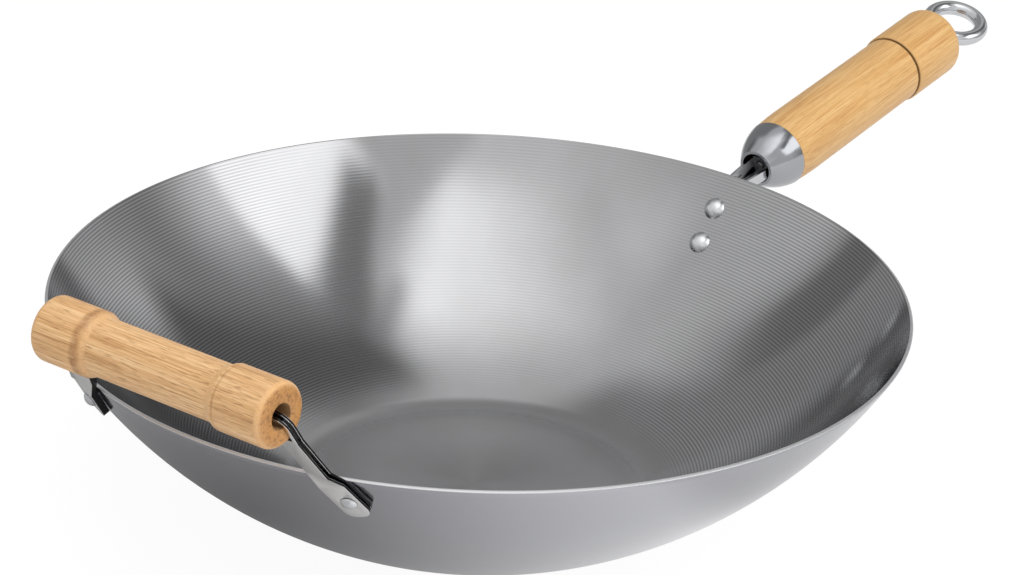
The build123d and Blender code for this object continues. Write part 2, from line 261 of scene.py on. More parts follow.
def paint_fold_shade(piece: Piece, inside: Material, reach: float, share: float,
              flat: Vector | None = None) -> None:
    """Give the faces deep in a fold, which the piece shuts in, a material of painted shade.

    Args:
        piece: Dressed piece.
        inside: Material of the painted shade inside the fold.
        reach: Distance in millimetres within which another face shuts a face in.
        share: Share of the directions that have to be shut.
        flat: Direction square to the flanges, where the cut edges get the painted shade too.
    """
    piece.data.materials.append(inside)
    mesh = piece.data
    skin = BVHTree.FromPolygons([vertex.co for vertex in mesh.vertices],
                                [tuple(face.vertices) for face in mesh.polygons])
    rays, lowest, lift = 24, 0.15, 0.02 * MM
    golden = math.pi * (3 - math.sqrt(5))
    fan = []
    for step in range(rays):
        rise = lowest + (1 - lowest) * (step + 0.5) / rays
        level = math.sqrt(1 - rise * rise)
        fan.append(Vector((level * math.cos(golden * step), level * math.sin(golden * step),
                           rise)))
    # Faces that the piece itself shuts in, as found by rays cast from them, get painted shade
    for face in mesh.polygons:
        aim = face.normal.to_track_quat("Z", "Y")
        start = face.center + face.normal * lift
        shut = sum(skin.ray_cast(start, aim @ ray, reach * MM)[0] is not None for ray in fan)
        if shut > share * rays or (flat and abs(face.normal.dot(flat)) < 0.35):
            face.material_index = 1


# Node trees. An input is given by its name, or by its number where names repeat: on a Mix node
# 0 is the share, 2 and 3 are the two numbers, and 6 and 7 are the two colours.

IN_MM = (1000, 1000, 1000)
SMOOTH = {"interpolation_type": "SMOOTHSTEP"}
COLOURS = {"data_type": "RGBA"}
RANGE = ("From Min", "From Max", "To Min", "To Max")


def linear(code: str) -> Colour:
    """Turn an sRGB hex colour into linear light.

    Args:
        code: Colour such as "#C0C4C8".

    Returns:
        Red, green, blue and alpha.
    """
    values = [int(code[place:place + 2], 16) / 255 for place in (1, 3, 5)]
    return (*(value / 12.92 if value <= 0.04045 else ((value + 0.055) / 1.055) ** 2.4
              for value in values), 1.0)


def grey(level: float) -> Colour:
    """Neutral colour of one linear level."""
    return (level, level, level, 1.0)


def add_node(tree: bpy.types.NodeTree, kind: str, values: dict | None = None) -> Node:
    """Add one node with its settings and its links.

    Args:
        tree: Tree that gets the node.
        kind: Type of the node without the word ShaderNode, and its operation if it has one.
        values: Settings by property name, and values or sources by the name or number of an
            input. A source is an output, or a node, which gives its first output in use.

    Returns:
        The new node.
    """
    kind, _, operation = kind.partition(" ")
    node = tree.nodes.new(f"ShaderNode{kind}")
    if operation:
        node.operation = operation
    for key, value in (values or {}).items():
        if isinstance(value, Node):
            value = next(output for output in value.outputs if output.enabled)
        if isinstance(value, Socket):
            tree.links.new(value, node.inputs[key])
        elif key == RANGE:
            for end, number in zip(RANGE, value):
                node.inputs[end].default_value = number
        elif key == "stops":
            while len(node.color_ramp.elements) < len(value):
                node.color_ramp.elements.new(1.0)
            for element, (place, shade) in zip(node.color_ramp.elements, value):
                element.position = place
                element.color = shade
        elif isinstance(key, str) and hasattr(node, key):
            setattr(node, key, value)
        else:
            node.inputs[key].default_value = value
    return node


def new_material(name: str) -> tuple[Material, AddNode]:
    """Make an empty node material.

    Args:
        name: Name of the material.

    Returns:
        The material, and add_node for its tree.
    """
    material = bpy.data.materials.new(name)
    material.use_nodes = True
    material.node_tree.nodes.clear()
    return material, partial(add_node, material.node_tree)


# Finishes

@dataclass(frozen=True)
class SpunCarbonSteel:
    """Bare carbon steel sheet, spun on a former: satin, with fine lines round the bowl.

    Radii are in millimetres from the bowl's axis.

    Attributes:
        bowl: Bowl whose spinning rings get painted shade in their grooves and painted highlight on
            their ridges.
        colour: Colour of the bare steel.
        shade: Colour of its slightly darker clouds.
        outside: Colour of the outside, painted darker than the inside as shade of the shadowed
            floor that it mirrors.
        ring_shade: Change of tone from groove to ridge, as painted shade and painted highlight.
        ring_lead: Distance over which the change of tone begins.
        shade_side: Direction in degrees of the line across the bowl along which that painted shade
            and highlight are strongest.
        shade_near: How near to that line the painted shade and highlight begin to grow and are
            strongest, as cosines.
        shade_extra: Further painted change of tone at the two ends of that line.
        brighten_from: Radii between which the flat floor's brighter tone rises.
        brighten_to: Radii between which it falls again.
        floor_gain: How much brighter the edge of the flat floor is than the wall.
        middle_gain: How much brighter the floor's middle is.
        seam_highlight: Radius where the floor turns up, and the reach of a painted highlight along
            it.
        seam_highlight_gain: How much brighter still that painted highlight is.
        pressed: Radii between which the pressed floor's roughness turns to the spun wall's.
        floor_roughness: Roughness of the flat floor, which is pressed and not spun.
        roughness: Roughness of the satin surface.
        anisotropy: How much longer the gloss is across the lines than along them.
        line_pitch: Spacing of the fine lines in millimetres, drawn coarser than real ones to show.
        line_depth: Depth of the fine lines in millimetres.
        cloud_size: Size of the clouds in millimetres.
    """

    bowl: "Bowl"
    colour: str = "#B3B3B5"
    shade: str = "#AEAEAF"
    outside: str = "#ABABB0"
    ring_shade: float = 0.09
    ring_lead: float = 12.0
    shade_side: float = 125.0
    shade_near: Point = (0.42, 0.94)
    shade_extra: float = 0.62
    brighten_from: Point = (12.0, 55.0)
    brighten_to: Point = (62.0, 84.0)
    floor_gain: float = 0.30
    middle_gain: float = 0.02
    seam_highlight: Point = (70.0, 5.5)
    seam_highlight_gain: float = 0.17
    pressed: Point = (58.0, 88.0)
    floor_roughness: float = 0.34
    roughness: float = 0.135
    anisotropy: float = 0.74
    line_pitch: float = 0.55
    line_depth: float = 0.0008
    cloud_size: float = 1 / 0.03

    def build(self) -> Material:
        """Make the material.

        Returns:
            The material.
        """
        material, add = new_material("Spun carbon steel")
        place = add("TexCoord")
        metric = add("Mapping", {"Scale": IN_MM, "Vector": place.outputs["Object"]})
        axes = add("SeparateXYZ", {0: metric})
        flat = add("CombineXYZ", {"X": axes.outputs["X"], "Y": axes.outputs["Y"]})
        radius = add("VectorMath LENGTH", {0: flat})
        direction = add("VectorMath NORMALIZE", {0: flat})
        # Fine lines run all the way round, so they depend on the radius and little else
        across = add("Math DIVIDE", {0: radius, 1: self.line_pitch})
        lines = add("TexNoise", {"noise_dimensions": "1D", "Scale": 1.0, "Detail": 2.0,
                                 "Roughness": 0.6, "W": across})
        clouds = add("TexNoise", {"Scale": 1 / self.cloud_size, "Detail": 3.0,
                                  "Roughness": 0.55, "Vector": metric})
        tone = add("ValToRGB", {"stops": [(0.35, linear(self.shade)),
                                          (0.65, linear(self.colour))], 0: clouds})
        # The outside, facing down, is painted darker as shade of the shadowed floor that it mirrors
        facing = add("SeparateXYZ", {0: place.outputs["Normal"]})
        under = add("MapRange", {RANGE: (-0.05, -0.2, 0.0, 1.0), "Value": facing.outputs["Z"]})
        tone = add("Mix", {**COLOURS, 7: linear(self.outside), 0: under, 6: tone})
        gain = self.ring_gain(add, radius, axes.outputs["Z"], direction, under)
        tone = add("VectorMath SCALE", {0: tone, "Scale": gain})
        satin = add("MapRange", {
            RANGE: (0.3, 0.7, self.roughness * 0.9, self.roughness * 1.1), "Value": lines})
        pressed = add("MapRange", {
            **SMOOTH, RANGE: (*self.pressed, self.floor_roughness - self.roughness, 0.0),
            "Value": radius})
        roughness = add("Math ADD", {0: satin, 1: pressed})
        relief = add("Bump", {"Strength": 1.0, "Distance": self.line_depth * MM, "Height": lines})
        around = add("VectorMath CROSS_PRODUCT", {0: (0, 0, 1), 1: direction})
        metal = add("BsdfPrincipled", {
            "Metallic": 1.0, "Anisotropic": self.anisotropy, "Anisotropic Rotation": 0.25,
            "Base Color": tone, "Roughness": roughness, "Normal": relief, "Tangent": around})
        add("OutputMaterial", {"Surface": metal})
        return material

    def ring_gain(self, add: AddNode, radius: Node, height: Socket, direction: Node,
                  under: Node) -> Node:
        """Brightness of the rings, as painted shade and highlight, and of the flat floor, with a
        painted highlight where it turns up.

        Args:
            add: Adds a node to the material's tree.
            radius: Distance from the bowl's axis.
            height: Height above the base.
            direction: Level direction from the axis.
            under: Share of the outside, which has no rings.

        Returns:
            The factor for the steel's colour.
        """
        centre = self.bowl.wall_centre
        waves = math.tau * (self.bowl.wall_radius - self.bowl.sheet) / self.bowl.ring_pitch
        begin = self.bowl.ring_start
        out = add("Math SUBTRACT", {1: centre[0], 0: radius})
        down = add("Math SUBTRACT", {0: centre[1], 1: height})
        angle = add("Math ARCTAN2", {0: out, 1: down})
        turns = add("Math MULTIPLY_ADD", {0: angle, 1: -waves,
                                          2: waves * self.bowl.wall_slope(0)})
        wave = add("Math COSINE", {0: turns})
        # Painted shade in the grooves and painted highlight on the ridges, strongest along one line
        # across the bowl
        side = math.radians(self.shade_side)
        facing = add("VectorMath DOT_PRODUCT", {
            0: direction, 1: (math.cos(side), math.sin(side), 0)})
        sideways = add("Math ABSOLUTE", {0: facing})
        depth = add("MapRange", {
            **SMOOTH, "Value": sideways,
            RANGE: (*self.shade_near, self.ring_shade / 2, (self.ring_shade + self.shade_extra) / 2)})
        begun = add("MapRange", {RANGE: (begin, begin + self.ring_lead, 0.0, 1.0),
                                 "Value": radius})
        depth = add("Math MULTIPLY", {0: depth, 1: begun})
        inside = add("Math SUBTRACT", {0: 1.0, 1: under})
        depth = add("Math MULTIPLY", {0: depth, 1: inside})
        # The flat floor is brighter towards its edge
        brightened = add("MapRange", {**SMOOTH, "Value": radius, RANGE: (
            *self.brighten_from, self.middle_gain, self.floor_gain)})
        ended = add("MapRange", {**SMOOTH, RANGE: (*self.brighten_to, 1.0, 0.0), "Value": radius})
        floor = add("Math MULTIPLY_ADD", {2: 1.0, 0: brightened, 1: ended})
        # Painted highlight along the line where the floor turns up
        away = add("Math SUBTRACT", {1: self.seam_highlight[0], 0: radius})
        away = add("Math ABSOLUTE", {0: away})
        seam_highlight = add("MapRange", {**SMOOTH, RANGE: (0.0, self.seam_highlight[1], self.seam_highlight_gain, 0.0),
                                "Value": away})
        floor = add("Math ADD", {0: floor, 1: seam_highlight})
        return add("Math MULTIPLY_ADD", {0: wave, 1: depth, 2: floor})


@dataclass(frozen=True)
class CutEdge:
    """Cut and deburred edge of bare steel sheet: pale and dull, without lines."""

    colour: str = "#E2E2E4"

    def build(self) -> Material:
        """Make the material.

        Returns:
            The material.
        """
        material, add = new_material("Deburred cut edge")
        metal = add("BsdfPrincipled", {"Metallic": 1.0, "Roughness": 0.5,
                                       "Base Color": linear(self.colour)})
        add("OutputMaterial", {"Surface": metal})
        return material


@dataclass(frozen=True)
class BrightMetal:
    """Plated or bare bright steel: smooth, with faint uneven patches from pressing.

    Attributes:
        name: Common name of the finish.
        colour: Colour of the metal.
        roughness: Roughness of the surface.
        patch: Size of the uneven patches in millimetres.
        unevenness: Depth of the patches in millimetres.
    """

    name: str
    colour: str
    roughness: float
    patch: float = 4.0
    unevenness: float = 0.02

    def build(self) -> Material:
        """Make the material.

        Returns:
            The material.
        """
        material, add = new_material(self.name)
        metric = add("Mapping", {"Scale": IN_MM, "Vector": add("TexCoord").outputs["Object"]})
        patches = add("TexNoise", {"Scale": 1 / self.patch, "Detail": 2.0, "Roughness": 0.5,
                                   "Vector": metric})
        relief = add("Bump", {"Strength": 1.0, "Distance": self.unevenness * MM,
                              "Height": patches})
        roughness = add("MapRange", {
            RANGE: (0.3, 0.7, self.roughness * 0.8, self.roughness * 1.3), "Value": patches})
        metal = add("BsdfPrincipled", {"Metallic": 1.0, "Base Color": linear(self.colour),
                                       "Roughness": roughness, "Normal": relief})
        add("OutputMaterial", {"Surface": metal})
        return material


@dataclass(frozen=True)
class FoldShade:
    """Painted shade inside a narrow fold: nearly black and dull, with a lip painted lit.

    Attributes:
        lip: Height along a direction, in millimetres from the origin, above which the fold is
            painted lit.
        up: Direction out of the fold.
        colour: Colour of the painted shade.
        bright: Colour of the lip, painted lit.
        lip_fade: Height in millimetres over which the painted lit lip turns to painted shade.
    """

    lip: float = 1e6
    up: Place = (0.0, 0.0, 1.0)
    colour: str = "#2B2B2D"
    bright: str = "#F0F0F1"
    lip_fade: float = 0.6

    def build(self) -> Material:
        """Make the material.

        Returns:
            The material.
        """
        material, add = new_material("Painted shade inside a fold")
        place = add("TexCoord")
        # Painted shade low in the fold, turning to a painted lit face above the lip
        height = add("VectorMath DOT_PRODUCT", {
            0: place.outputs["Object"], 1: tuple(1000 * part for part in self.up)})
        share = add("MapRange", {RANGE: (self.lip - self.lip_fade, self.lip, 0.0, 1.0),
                                 "Value": height})
        tone = add("Mix", {**COLOURS, 6: linear(self.colour), 7: linear(self.bright), 0: share})
        rough = add("MapRange", {RANGE: (0.0, 1.0, 0.4, 0.62), "Value": share})
        metal = add("BsdfPrincipled", {"Metallic": 1.0, "Base Color": tone, "Roughness": rough})
        add("OutputMaterial", {"Surface": metal})
        return material


@dataclass(frozen=True)
class DarkBand:
    """Dark band across turned wood, used for burnt lines and for painted shade where the wood lies
    deep in a recess.

    Attributes:
        place: Distance along the piece in millimetres.
        reach: Distance over which the band fades.
        strength: Share of the wood colour that the band takes away.
        uneven: Share of the band that comes and goes.
        colour: Colour of the band.
    """

    place: float
    reach: float
    strength: float
    uneven: float = 0.0
    colour: str = "#3E2110"


@dataclass(frozen=True)
class TurnedBeech:
    """Sanded and clear-coated beech: pale, with long grain and short dark flecks.

    Attributes:
        name: Name of the material.
        origin: Start of the grain's own axes in metres.
        turn: Rotation of the grain's own axes, whose X runs along the grain.
        ends: Distances of the two cut ends, where the end grain is darker.
        bore: Radius of the hole through it, whose wall gets painted shade.
        dark_bands: Burnt lines and bands of painted shade along the piece.
        tones: Colours of the late wood, of most of the wood and of the early wood.
        pores: Share of the short dark pores.
        growth: Growth rings per millimetre along and across: 3 mm wide, drawn out 30 times.
        fibre: The same for the fibres: 0.6 mm wide, coarser than real ones so that they show.
        fleck: The same for the pores: 6 mm long and 0.4 mm wide.
        fibre_share: Share of the fibres in the colour, the rest being the growth rings.
        pore: Colour of the pores.
        hole: Colour of the painted shade on the wall of the hole.
        end_grain: Colour of the cut ends.
        end_speck: Colour of the pores there.
    """

    name: str
    origin: Vector
    turn: Euler
    ends: Point
    bore: float
    dark_bands: tuple[DarkBand, ...]
    tones: tuple[str, str, str]
    pores: float
    growth: Place = (0.012, 0.34, 0.30)
    fibre: Place = (0.035, 1.7, 1.7)
    fleck: Place = (0.15, 2.3, 2.3)
    fibre_share: float = 0.68
    pore: str = "#A06A3C"
    hole: str = "#3E2110"
    end_grain: str = "#BF8749"
    end_speck: str = "#8A5628"

    def build(self) -> Material:
        """Make the material.

        Returns:
            The material.
        """
        material, add = new_material(self.name)
        place = add("TexCoord")
        grain = add("Mapping", {
            "vector_type": "TEXTURE", "Location": self.origin, "Rotation": self.turn,
            "Scale": (MM, MM, MM), "Vector": place.outputs["Object"]})
        axes = add("SeparateXYZ", {0: grain})
        growth = add("VectorMath MULTIPLY", {1: self.growth, 0: grain})
        bands = add("TexNoise", {"Scale": 1.0, "Detail": 2.0, "Roughness": 0.5,
                                 "Distortion": 0.3, "Vector": growth})
        thin = add("VectorMath MULTIPLY", {1: self.fibre, 0: grain})
        fibres = add("TexNoise", {"Scale": 1.0, "Detail": 2.5, "Roughness": 0.65,
                                  "Vector": thin})
        blend = add("Mix", {0: self.fibre_share, 2: bands, 3: fibres})
        stops = [(spot, linear(tone)) for spot, tone in zip((0.36, 0.5, 0.64), self.tones)]
        colour = add("ValToRGB", {"stops": stops, 0: blend})
        short = add("VectorMath MULTIPLY", {1: self.fleck, 0: grain})
        spots = add("TexNoise", {"Scale": 1.0, "Detail": 1.0, "Vector": short})
        marks = add("MapRange", {RANGE: (0.58, 0.72, 0.0, self.pores), "Value": spots})
        colour = add("Mix", {**COLOURS, 7: linear(self.pore), 0: marks, 6: colour})
        # On slopes the cut pores and fibres would turn to dots, which sanding has closed
        along = Vector((1, 0, 0))
        along.rotate(self.turn)
        slope = add("VectorMath DOT_PRODUCT", {0: place.outputs["Normal"], 1: along})
        slope = add("Math ABSOLUTE", {0: slope})
        closed = add("MapRange", {RANGE: (0.1, 0.4, 0.0, 0.75), "Value": slope})
        colour = add("Mix", {**COLOURS, 7: linear(self.tones[1]), 0: closed, 6: colour})
        patches = add("TexNoise", {"Scale": 0.22, "Detail": 3.0, "Vector": grain})
        # Burnt lines, and painted shade where the wood lies deep in a recess
        for dark_band in self.dark_bands:
            share = self.band(add, axes, dark_band.place, (dark_band.reach, dark_band.reach * 0.35),
                              dark_band.strength)
            patchy = add("MapRange", {RANGE: (0.35, 0.65, 1.0 - dark_band.uneven, 1.0),
                                      "Value": patches})
            share = add("Math MULTIPLY", {0: share, 1: patchy})
            colour = add("Mix", {**COLOURS, 7: linear(dark_band.colour), 0: share, 6: colour})
        # The cut ends drink more of the coat, and their pores are dots
        dots = add("TexNoise", {"Scale": 0.7, "Detail": 3.0, "Roughness": 0.7, "Vector": grain})
        specks = add("MapRange", {RANGE: (0.48, 0.62, 0.0, 1.0), "Value": dots})
        ends = add("Mix", {**COLOURS, 6: linear(self.end_grain), 7: linear(self.end_speck),
                           0: specks})
        half = abs(self.ends[1] - self.ends[0]) / 2
        share = self.band(add, axes, sum(self.ends) / 2, (half - 0.9, half - 0.1), 0.85)
        colour = add("Mix", {**COLOURS, 0: share, 6: colour, 7: ends})
        # Painted shade on the wall of the bore
        across = add("CombineXYZ", {"X": axes.outputs["Y"], "Y": axes.outputs["Z"]})
        depth = add("VectorMath LENGTH", {0: across})
        share = add("MapRange", {RANGE: (self.bore + 0.6, self.bore + 0.1, 0.0, 0.6),
                                 "Value": depth})
        colour = add("Mix", {**COLOURS, 7: linear(self.hole), 0: share, 6: colour})
        relief = add("Bump", {"Strength": 1.0, "Distance": 0.03 * MM, "Height": blend})
        wood = add("BsdfPrincipled", {
            "Roughness": 0.45, "IOR": 1.5, "Coat Weight": 0.15, "Coat Roughness": 0.3,
            "Base Color": colour, "Normal": relief})
        add("OutputMaterial", {"Surface": wood})
        return material

    def band(self, add: AddNode, axes: Node, place: float, reach: Point,
             strength: float) -> Node:
        """Share of a band across the grain.

        Args:
            add: Adds a node to the material's tree.
            axes: Place along and across the grain.
            place: Middle of the band along the grain.
            reach: Distances from the middle at which the share is nothing and full.
            strength: Full share.

        Returns:
            The share.
        """
        offset = add("Math SUBTRACT", {1: place, 0: axes})
        away = add("Math ABSOLUTE", {0: offset})
        return add("MapRange", {RANGE: (*reach, 0.0, strength), "Value": away})


# Sub-assemblies, with every size in millimetres

@dataclass
class Bowl:
    """Spun bowl with its real rings.

    The rings begin ring_start from the axis and end ring_stop below the rim, and fades are the
    lengths over which they come up there and die away here. Faces of the cut edge lie within
    edge_zone below the rim. wall_centre is the radius and height of the centre of the wall's arc.
    """

    rim_radius: float = 177.8
    height: float = 88.0
    sheet: float = 1.6
    base_radius: float = 70.0
    blend_radius: float = 28.0
    wall_radius: float = 211.7
    corner_round: float = 0.35
    ring_pitch: float = 1.45
    ring_depth: float = 0.012
    ring_start: float = 82.0
    ring_stop: float = 3.0
    fades: Point = (10.0, 3.0)
    floor_radii: tuple[float, ...] = (0, 4, 12, 24, 36, 48, 58, 65, 68, 69.4)
    base_radii: tuple[float, ...] = (60, 40, 20, 0)
    edge_zone: float = 3.0
    steps: int = 180
    wall_centre: Point = field(init=False)

    def __post_init__(self) -> None:
        """Work out the centre of the wall's arc."""
        self.wall_centre = circle_crossing(
            (self.base_radius, self.blend_radius), self.wall_radius - self.blend_radius,
            (self.rim_radius, self.height), self.wall_radius)

    def wall_slope(self, drop: float) -> float:
        """Slope of the wall from level, in radians, at a drop below the rim."""
        return math.acos((self.wall_centre[1] - self.height + drop) / self.wall_radius)

    def wall_axis(self, drop: float, azimuth: float, out: float) -> TurningAxis:
        """Axis square to the wall.

        Args:
            drop: Drop below the rim.
            azimuth: Direction round the bowl in degrees.
            out: Distance of the axis's origin outside the outer face.

        Returns:
            The axis, which points into the bowl.
        """
        slope = self.wall_slope(drop)
        turn = math.radians(azimuth)
        radial = Vector((math.cos(turn), math.sin(turn), 0))
        normal = radial * math.sin(slope) - UP * math.cos(slope)
        reach = self.wall_centre[0] + self.wall_radius * math.sin(slope)
        origin = radial * reach + UP * (self.height - drop) + normal * out
        return TurningAxis(origin, -normal, normal.cross(radial.cross(UP)).normalized())

    def ring_height(self, arc_length: float, radius: float) -> float:
        """Height of the spinning marks on the inner wall.

        Args:
            arc_length: Distance from the rim along the wall.
            radius: Distance from the bowl's axis.

        Returns:
            Height above the plain wall.
        """
        fade = min(1.0, max(0.0, (radius - self.ring_start) / self.fades[0]))
        fade *= min(1.0, max(0.0, (arc_length - self.ring_stop) / self.fades[1]))
        swell = 0.75 + 0.25 * math.sin(arc_length * 0.61) * math.sin(arc_length * 0.17 + 1)
        wave = 0.5 + 0.5 * math.cos(math.tau * arc_length / self.ring_pitch)
        return self.ring_depth * fade * swell * wave

    def outline(self) -> Outline:
        """Draw the half section of the bowl.

        Returns:
            The points from the floor's middle over the rim to the base's middle.
        """
        blend_centre = (self.base_radius, self.blend_radius)
        blend_end = math.degrees(math.asin(
            (self.base_radius - self.wall_centre[0]) / (self.wall_radius - self.blend_radius)))
        rim = math.degrees(self.wall_slope(0))
        inner_radius = self.wall_radius - self.sheet
        inner = [(radius, self.sheet) for radius in self.floor_radii]
        inner += arc_points(blend_centre, self.blend_radius - self.sheet, -90, blend_end - 90, 26)
        length = math.radians(rim - blend_end) * inner_radius
        count = round(length / self.ring_pitch) * 4
        for step in range(1, count + 1):
            turn = math.radians(blend_end - 90 + (rim - blend_end) * step / count)
            left = length * (1 - step / count)
            if left < self.corner_round:
                break
            lift = self.ring_height(left, self.wall_centre[0] + inner_radius * math.cos(turn))
            inner.append((self.wall_centre[0] + (inner_radius - lift) * math.cos(turn),
                          self.wall_centre[1] + (inner_radius - lift) * math.sin(turn)))
        outer = arc_points(self.wall_centre, self.wall_radius, rim - 90, blend_end - 90, 40)
        outer += arc_points(blend_centre, self.blend_radius, blend_end - 90, -90, 8)[1:]
        outer += [(radius, 0.0) for radius in self.base_radii]
        return inner + self.rim_edge(rim) + outer[1:]

    def rim_edge(self, rim: float) -> Outline:
        """Draw the cut edge of the rim, square to the wall, with its corners just broken.

        Args:
            rim: Slope of the wall at the rim in degrees.

        Returns:
            The points from the inner corner to the outer one.
        """
        turn = math.radians(rim - 90)
        out = (math.cos(turn), math.sin(turn))
        up = (-out[1], out[0])
        points = []
        for depth, turns in ((self.sheet - self.corner_round, (180, 135, 90)),
                             (self.corner_round, (90, 45, 0))):
            centre = [self.wall_centre[axis] + (self.wall_radius - depth) * out[axis]
                      - self.corner_round * up[axis] for axis in (0, 1)]
            for bend in map(math.radians, turns):
                points.append(tuple(centre[axis] + self.corner_round * (
                    math.cos(bend) * out[axis] + math.sin(bend) * up[axis]) for axis in (0, 1)))
        return points

    def build(self) -> list[Piece]:
        """Model and dress the bowl.

        Returns:
            The bowl.
        """
        rim = self.wall_slope(0)
        bowl = dress(turn_piece("spun_bowl", self.outline(), UPRIGHT, self.steps, sharp_from=50),
                     SpunCarbonSteel(self).build(), "carbon_steel", "wok", "bowl")
        bowl.data.materials.append(CutEdge().build())
        for face in bowl.data.polygons:
            outward = Vector((face.center.x, face.center.y, 0)).normalized()
            along = outward * math.cos(rim) + Vector((0, 0, math.sin(rim)))
            high = face.center.z > (self.height - self.edge_zone) * MM
            if high and face.normal.dot(along) > 0.5:
                face.material_index = 1
        return [bowl]


@dataclass(frozen=True)
class Rivet:
    """Domed rivet: head inside the bowl, tail outside.

    Attributes:
        length: Length between head and tail.
        shank: Radius of the shank.
        head: Radius and height of the head.
        tail: Radius and height of the tail.
    """

    length: float
    shank: float
    head: Point
    tail: Point

    def build(self, name: str, axis: TurningAxis) -> Piece:
        """Model one rivet.

        Args:
            name: Name of the rivet.
            axis: Axis whose origin is under the head.

        Returns:
            The rivet.
        """
        head, tail = ((radius ** 2 + height ** 2) / (2 * height)
                      for radius, height in (self.head, self.tail))
        head_angle = math.degrees(math.asin(self.head[0] / head))
        tail_angle = math.degrees(math.asin(self.tail[0] / tail))
        return turn_piece(name, [
            *arc_points((0, self.head[1] - head), head, 90, 90 - head_angle, 12),
            (self.shank, 0), (self.shank, -self.length),
            *arc_points((0, tail - self.tail[1] - self.length), tail, tail_angle - 90, -90, 8)],
            axis, 48)


